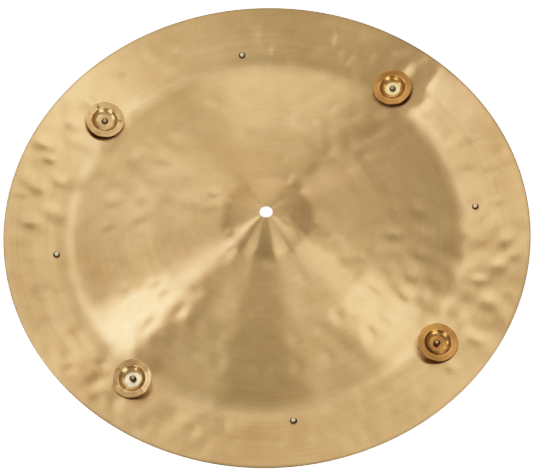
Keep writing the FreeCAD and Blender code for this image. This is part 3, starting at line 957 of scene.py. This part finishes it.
def place_jingle(number, station):
    matrix = in_metres(station_matrix(station) @ tipped(number))
    jingle = new_object(f"jingle_disc_{number}", make_jingle(number), matrix)
    give(jingle, JINGLE_METALS[number])
    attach(jingle, f"jingle_{number}")
    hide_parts(f"jingle_{number}")


def place_rivet(node, mesh, station, height):
    """A rivet on a station, with the underside of its head at a height above the flange."""
    matrix = station_matrix(station, RIVET_TWIST * station) @ Matrix.Translation((0, 0, height))
    rivet = new_object(f"{node}_turned", mesh, in_metres(matrix))
    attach(rivet, node)
    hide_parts(node)


place_plate()

loose_rivet = make_rivet_mesh()
holding_rivet = loose_rivet.copy()
holding_rivet.name = "jingle_split_rivet"
# The same rivet metal twice: a bright copy for the loose rivets, painted lighter for the light on their
# crowns, and a dark copy for the jingles' rivets, painted with the shade of the cups.
loose_rivet.materials.append(rivet_metal("rivet_lit_copy", (1.0, 0.74, 0.50), (1.0, 0.81, 0.60)))
holding_rivet.materials.append(rivet_metal("rivet_painted_shade", (0.42, 0.28, 0.15), (0.62, 0.45, 0.27)))

# Loose rivets are on the even stations, and jingles with their rivets on the odd ones.
for number in range(1, STATION_COUNT // 2 + 1):
    station = 2 * number - 2
    place_rivet(f"sizzle_rivet_{number}", loose_rivet, station, SEAT_GAP)
    place_jingle(number, station + 1)
    lift = ROCK_LIFT if number in TIPPED_JINGLES else 0.0
    seat = JINGLE_GAP + JINGLE_THICKNESS + SEAT_GAP + lift
    place_rivet(f"jingle_rivet_{number}", holding_rivet, station + 1, seat)


# ---- floor ---------------------------------------------------------------------------------------

FLOOR_DROP = 0.50
FLOOR_HALF = 14.0
FLOOR_GREY = (0.45, 0.45, 0.45, 1.0)
FLOOR_GLOW = 3.0


def make_floor():
    """A wide floor under the cymbal. It is white to the camera, and a plain grey to the metal."""
    low = cad_box[0][2] - FLOOR_DROP
    mesh = bpy.data.meshes.new("floor")
    sides = [(-1, -1), (1, -1), (1, 1), (-1, 1)]
    mesh.from_pydata([(x * FLOOR_HALF, y * FLOOR_HALF, low) for x, y in sides], [], [(0, 1, 2, 3)])
    floor = new_object("floor", mesh)
    s = Shader("pale_floor")
    seen = s.node("ShaderNodeLightPath").outputs["Is Camera Ray"]
    paint = s.node("ShaderNodeBsdfDiffuse", {"Color": FLOOR_GREY})
    glow = s.node("ShaderNodeEmission", {"Strength": s.times(seen, FLOOR_GLOW)})
    both = s.node("ShaderNodeAddShader", {0: paint.outputs[0], 1: glow.outputs[0]})
    s.tree.links.new(both.outputs[0], s.output.inputs["Surface"])
    mesh.materials.append(s.material)


make_floor()


# ---- camera --------------------------------------------------------------------------------------

# The view is from above, tilted to the front and turned a little from the part's -Y. It is aimed at
# the axis at the rim's height. The slip moves the camera right and up, in metres, and the lens is its
# length for a sensor one wide.
VIEW_TURN = -5.2
VIEW_TILT = 29.21
VIEW_ROLL = 2.04
VIEW_DISTANCE = 2.400
VIEW_SLIP = Vector((-0.00045, -0.01011))
RIM_HEIGHT = -0.0268
LENS_WIDTHS = 4.673921
SENSOR_WIDTH = 36.0
CLIP_END = 60.0


def turned(x, y, z):
    """Turns a direction from the view's frame, with +X to its right, into the part's frame."""
    return Matrix.Rotation(math.radians(VIEW_TURN), 3, "Z") @ Vector((x, y, z))


def make_camera():
    tilt, roll = math.radians(VIEW_TILT), math.radians(VIEW_ROLL)
    back = turned(0.0, -math.sin(tilt), math.cos(tilt))
    right = turned(1.0, 0.0, 0.0)
    up = turned(0.0, math.cos(tilt), math.sin(tilt))
    place = Vector((0, 0, RIM_HEIGHT)) + back * VIEW_DISTANCE + right * VIEW_SLIP.x + up * VIEW_SLIP.y
    side = right * math.cos(roll) - up * math.sin(roll)
    head = right * math.sin(roll) + up * math.cos(roll)
    pose = Matrix((side, head, back)).transposed().to_4x4()
    pose.translation = place
    data = bpy.data.cameras.new("camera")
    data.sensor_fit = "HORIZONTAL"
    data.sensor_width = SENSOR_WIDTH
    data.lens = SENSOR_WIDTH * LENS_WIDTHS
    data.clip_end = CLIP_END
    camera = bpy.data.objects.new("camera", data)
    camera.matrix_world = pose
    bpy.context.scene.collection.objects.link(camera)
    bpy.context.scene.camera = camera


make_camera()


# ---- light ---------------------------------------------------------------------------------------

LIGHT_DISTANCE = 2.0

# Softboxes: direction round from the view's right, angle from overhead, length and width as seen
# from the cymbal, lean of the long side from level, brightness and tint. The angles are in degrees.
PLAIN = (1.0, 1.0, 1.0)
ROSE = (1.04, 0.98, 1.02)
COOL_ROSE = (1.04, 0.97, 1.10)
SOFTBOXES = {
    "key_back": (108.4, 30.6, 14.0, 9.0, 0.0, 4.6, ROSE),
    "key_top_left": (133.0, 20.0, 11.0, 11.0, 0.0, 0.5, ROSE),
    "key_left": (172.0, 38.0, 36.0, 11.0, -47.0, 2.8, COOL_ROSE),
    "key_left_core": (165.0, 30.0, 14.0, 10.0, -47.0, 3.8, COOL_ROSE),
    "key_right": (37.4, 22.0, 37.0, 12.0, 12.0, 2.55, ROSE),
    "key_right_core": (65.0, 25.0, 10.0, 10.0, 0.0, 0.6, PLAIN),
    "key_right_low": (0.0, 26.3, 12.0, 10.0, 0.0, 0.7, ROSE),
    "back_high": (86.0, 49.0, 22.0, 14.0, 20.0, 0.75, PLAIN),
    "back_mid_left": (120.0, 55.0, 28.0, 14.0, 15.0, 1.0, PLAIN),
    "back_low": (88.0, 74.7, 28.0, 36.0, 28.0, 1.75, ROSE),
    "front_left": (237.0, 55.0, 8.0, 50.0, 0.0, 0.40, PLAIN),
    "front_right": (292.0, 55.0, 8.0, 50.0, 0.0, 1.65, PLAIN),
    "front_left_low": (233.0, 70.0, 22.0, 26.0, 0.0, 5.0, PLAIN),
    "front_right_low": (301.0, 80.0, 22.0, 26.0, 0.0, 7.5, PLAIN),
    "top": (0.0, 0.0, 16.0, 16.0, 0.0, 0.2, PLAIN),
}


def make_softbox(name, around, from_top, length, width, lean, brightness, tint):
    sine = math.sin(math.radians(from_top))
    way = turned(
        sine * math.cos(math.radians(around)), sine * math.sin(math.radians(around)),
        math.cos(math.radians(from_top)),
    )
    data = bpy.data.lights.new(name, "AREA")
    data.shape = "RECTANGLE"
    data.size = 2 * LIGHT_DISTANCE * math.tan(math.radians(length / 2))
    data.size_y = 2 * LIGHT_DISTANCE * math.tan(math.radians(width / 2))
    # this power makes the panel equally bright whatever its size
    data.energy = brightness * math.pi * data.size * data.size_y
    data.color = tint
    lamp = bpy.data.objects.new(name, data)
    aim = way.to_track_quat("Z", "Y").to_matrix().to_4x4() @ Matrix.Rotation(math.radians(lean), 4, "Z")
    aim.translation = way * LIGHT_DISTANCE
    lamp.matrix_world = aim
    lamp.visible_camera = False
    bpy.context.scene.collection.objects.link(lamp)


for name, facts in SOFTBOXES.items():
    make_softbox(name, *facts)

ROOM_STRENGTH = 0.42
ROOM_GREY = (0.97, 1.02, 0.94, 1.0)
BACKDROP_STRENGTH = 3.2


def make_world():
    """White to the camera, and a dim, even, slightly green grey on the metal."""
    world = bpy.data.worlds.new("studio")
    world.use_nodes = True
    nodes, links = world.node_tree.nodes, world.node_tree.links
    nodes.clear()
    room, backdrop = nodes.new("ShaderNodeBackground"), nodes.new("ShaderNodeBackground")
    room.inputs["Strength"].default_value = ROOM_STRENGTH
    room.inputs["Color"].default_value = ROOM_GREY
    backdrop.inputs["Strength"].default_value = BACKDROP_STRENGTH
    either, seen = nodes.new("ShaderNodeMixShader"), nodes.new("ShaderNodeLightPath")
    output = nodes.new("ShaderNodeOutputWorld")
    links.new(seen.outputs["Is Camera Ray"], either.inputs[0])
    links.new(room.outputs[0], either.inputs[1])
    links.new(backdrop.outputs[0], either.inputs[2])
    links.new(either.outputs[0], output.inputs["Surface"])
    bpy.context.scene.world = world


make_world()

# The picture's tone curve: a colour of this strength is white, contrast is the power it is raised
# to, and gain says how fast it then rises. The stops are where the curve is set, as shares of white.
TONE_WHITE, TONE_CONTRAST, TONE_GAIN = 3.0, 1.15, 1.02
TONE_STOPS = [0.0, 0.04, 0.09, 0.15, 0.22, 0.31, 0.42, 0.57, 0.76, 1.0]


def film_response():
    """Each colour rises as 1 - exp(-gain * strength ** contrast), scaled to end at white, so that
    bright metal pales to cream before it clips."""
    view = bpy.context.scene.view_settings
    view.view_transform = "Standard"
    view.use_curve_mapping = True
    mapping = view.curve_mapping
    mapping.white_level = (TONE_WHITE, TONE_WHITE, TONE_WHITE)
    curve = mapping.curves[3]
    top = 1.0 - math.exp(-TONE_GAIN * TONE_WHITE ** TONE_CONTRAST)
    for _ in TONE_STOPS[2:]:
        curve.points.new(0.5, 0.5)
    for point, x in zip(curve.points, TONE_STOPS):
        rise = 1.0 - math.exp(-TONE_GAIN * (TONE_WHITE * x) ** TONE_CONTRAST)
        point.location = (x, rise / top)
    mapping.update()


film_response()

bpy.context.view_layer.update()
